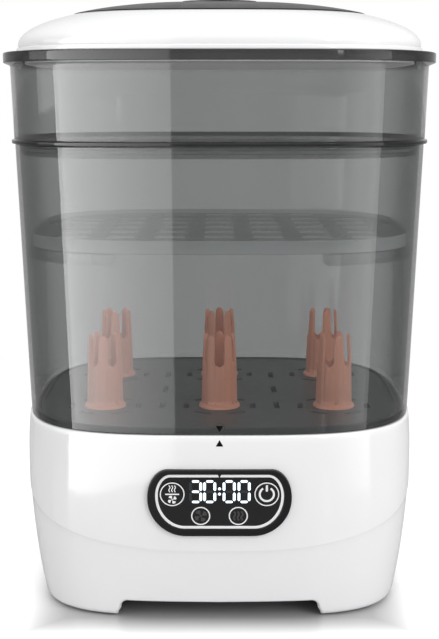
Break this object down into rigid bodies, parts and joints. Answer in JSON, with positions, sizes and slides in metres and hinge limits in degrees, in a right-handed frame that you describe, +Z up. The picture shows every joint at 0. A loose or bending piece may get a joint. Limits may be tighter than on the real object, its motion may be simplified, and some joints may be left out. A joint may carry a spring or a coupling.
{
  "type": "bottle sterilizer",
  "caption": "Steam bottle steriliser and dryer: white base with display panel and fan, clear smoke-grey housing, racks with pegs, upper tray and domed lid.",
  "frame": {"origin": "on the surface that the feet rest on, under the middle of the base", "axes": "+Z up through the stack, the control panel faces -Y, +X to the right seen from the front"},
  "size_m": [0.29, 0.27, 0.4066],
  "materials": {
    "white_shell": "glossy white moulding",
    "white_inner": "satin white moulding",
    "smoke_clear": "clear smoke-grey plastic",
    "charcoal_plastic": "satin dark grey moulding",
    "black_gloss": "gloss black",
    "peg_salmon": "soft satin salmon",
    "stainless": "brushed",
    "zinc_steel": "plated",
    "cast_alloy": "as cast",
    "silicone": "matt translucent silicone",
    "rubber_black": "matt",
    "board_green": "solder mask",
    "component_blue": "moulded case",
    "component_black": "sleeved can",
    "rotor_grey": "moulded",
    "filter_paper": "pleated filter paper",
    "phenolic": "moulded phenolic",
    "light_pipe": "frosted"
  },
  "bodies": {
    "base": {"base_shell": "white_shell", "bottom_cover": "charcoal_plastic", "foot_front_left": "rubber_black", "foot_front_right": "rubber_black", "foot_rear_left": "rubber_black", "foot_rear_right": "rubber_black", "base_screws": "zinc_steel", "heating_deck": "charcoal_plastic", "plate_seal": "silicone", "heating_plate": "stainless", "heater_element": "cast_alloy", "heater_bracket": "zinc_steel", "bracket_screws": "zinc_steel", "thermostat": "phenolic", "thermal_fuse": "zinc_steel", "fan_housing": "charcoal_plastic", "fan_cover": "charcoal_plastic", "fan_motor": "zinc_steel", "air_outlet_cap": "charcoal_plastic", "cord_gland": "rubber_black", "terminal_block": "white_inner", "power_board": "board_green", "power_relay": "component_blue", "power_capacitor": "component_black", "control_bezel": "black_gloss", "panel_ring": "white_inner", "panel_lens": "black_gloss", "mode_switch": "component_black", "power_switch": "component_black", "display_module": "component_black", "drying_light": "light_pipe", "steam_light": "light_pipe", "control_board": "board_green", "panel_screws": "zinc_steel"},
    "bottle_rack": {"bottle_rack": "charcoal_plastic", "peg_front_left": "peg_salmon", "peg_front_middle": "peg_salmon", "peg_front_right": "peg_salmon", "peg_rear_left": "peg_salmon", "peg_rear_middle": "peg_salmon", "peg_rear_right": "peg_salmon"},
    "housing": {"housing": "smoke_clear"},
    "mid_rack": {"mid_rack": "smoke_clear"},
    "upper_tray": {"upper_tray": "smoke_clear"},
    "lid": {"lid_shell": "white_shell", "lid_cap": "black_gloss", "lid_vent": "black_gloss", "lid_liner": "white_inner", "lid_seal": "silicone", "lid_screws": "zinc_steel"},
    "mode_button": {"mode_button": "black_gloss"},
    "power_button": {"power_button": "black_gloss"},
    "impeller": {"impeller": "rotor_grey"},
    "filter": {"filter_frame": "white_inner", "filter_media": "filter_paper"},
    "filter_cover": {"filter_cover": "white_shell"}
  },
  "joints": [
    {"name": "rack_lift", "type": "slide", "parent": "base", "child": "bottle_rack", "axis": [0, 0, 1], "range_m": [0, 0.03]},
    {"name": "housing_lift", "type": "slide", "parent": "bottle_rack", "child": "housing", "axis": [0, 0, 1], "range_m": [0, 0.08]},
    {"name": "mid_rack_lift", "type": "slide", "parent": "housing", "child": "mid_rack", "axis": [0, 0, 1], "range_m": [0, 0.09]},
    {"name": "tray_lift", "type": "slide", "parent": "mid_rack", "child": "upper_tray", "axis": [0, 0, 1], "range_m": [0, 0.03]},
    {"name": "lid_lift", "type": "slide", "parent": "upper_tray", "child": "lid", "axis": [0, 0, 1], "range_m": [0, 0.04]},
    {"name": "mode_press", "type": "slide", "parent": "base", "child": "mode_button", "axis": [0, 0.9994, 0.0349], "range_m": [0, 0.0008], "stiffness_N_per_m": 900, "springref_m": -0.0004},
    {"name": "power_press", "type": "slide", "parent": "base", "child": "power_button", "axis": [0, 0.9994, 0.0349], "range_m": [0, 0.0008], "stiffness_N_per_m": 900, "springref_m": -0.0004},
    {"name": "impeller_spin", "type": "hinge", "parent": "base", "child": "impeller", "pos_m": [-0.02, 0.088, 0.055], "axis": [0, 1, 0], "continuous": true},
    {"name": "filter_pull", "type": "slide", "parent": "base", "child": "filter", "axis": [0, 1, 0], "range_m": [0, 0.045]},
    {"name": "filter_cover_pull", "type": "slide", "parent": "filter", "child": "filter_cover", "axis": [0, 1, 0], "range_m": [0, 0.03]}
  ]
}
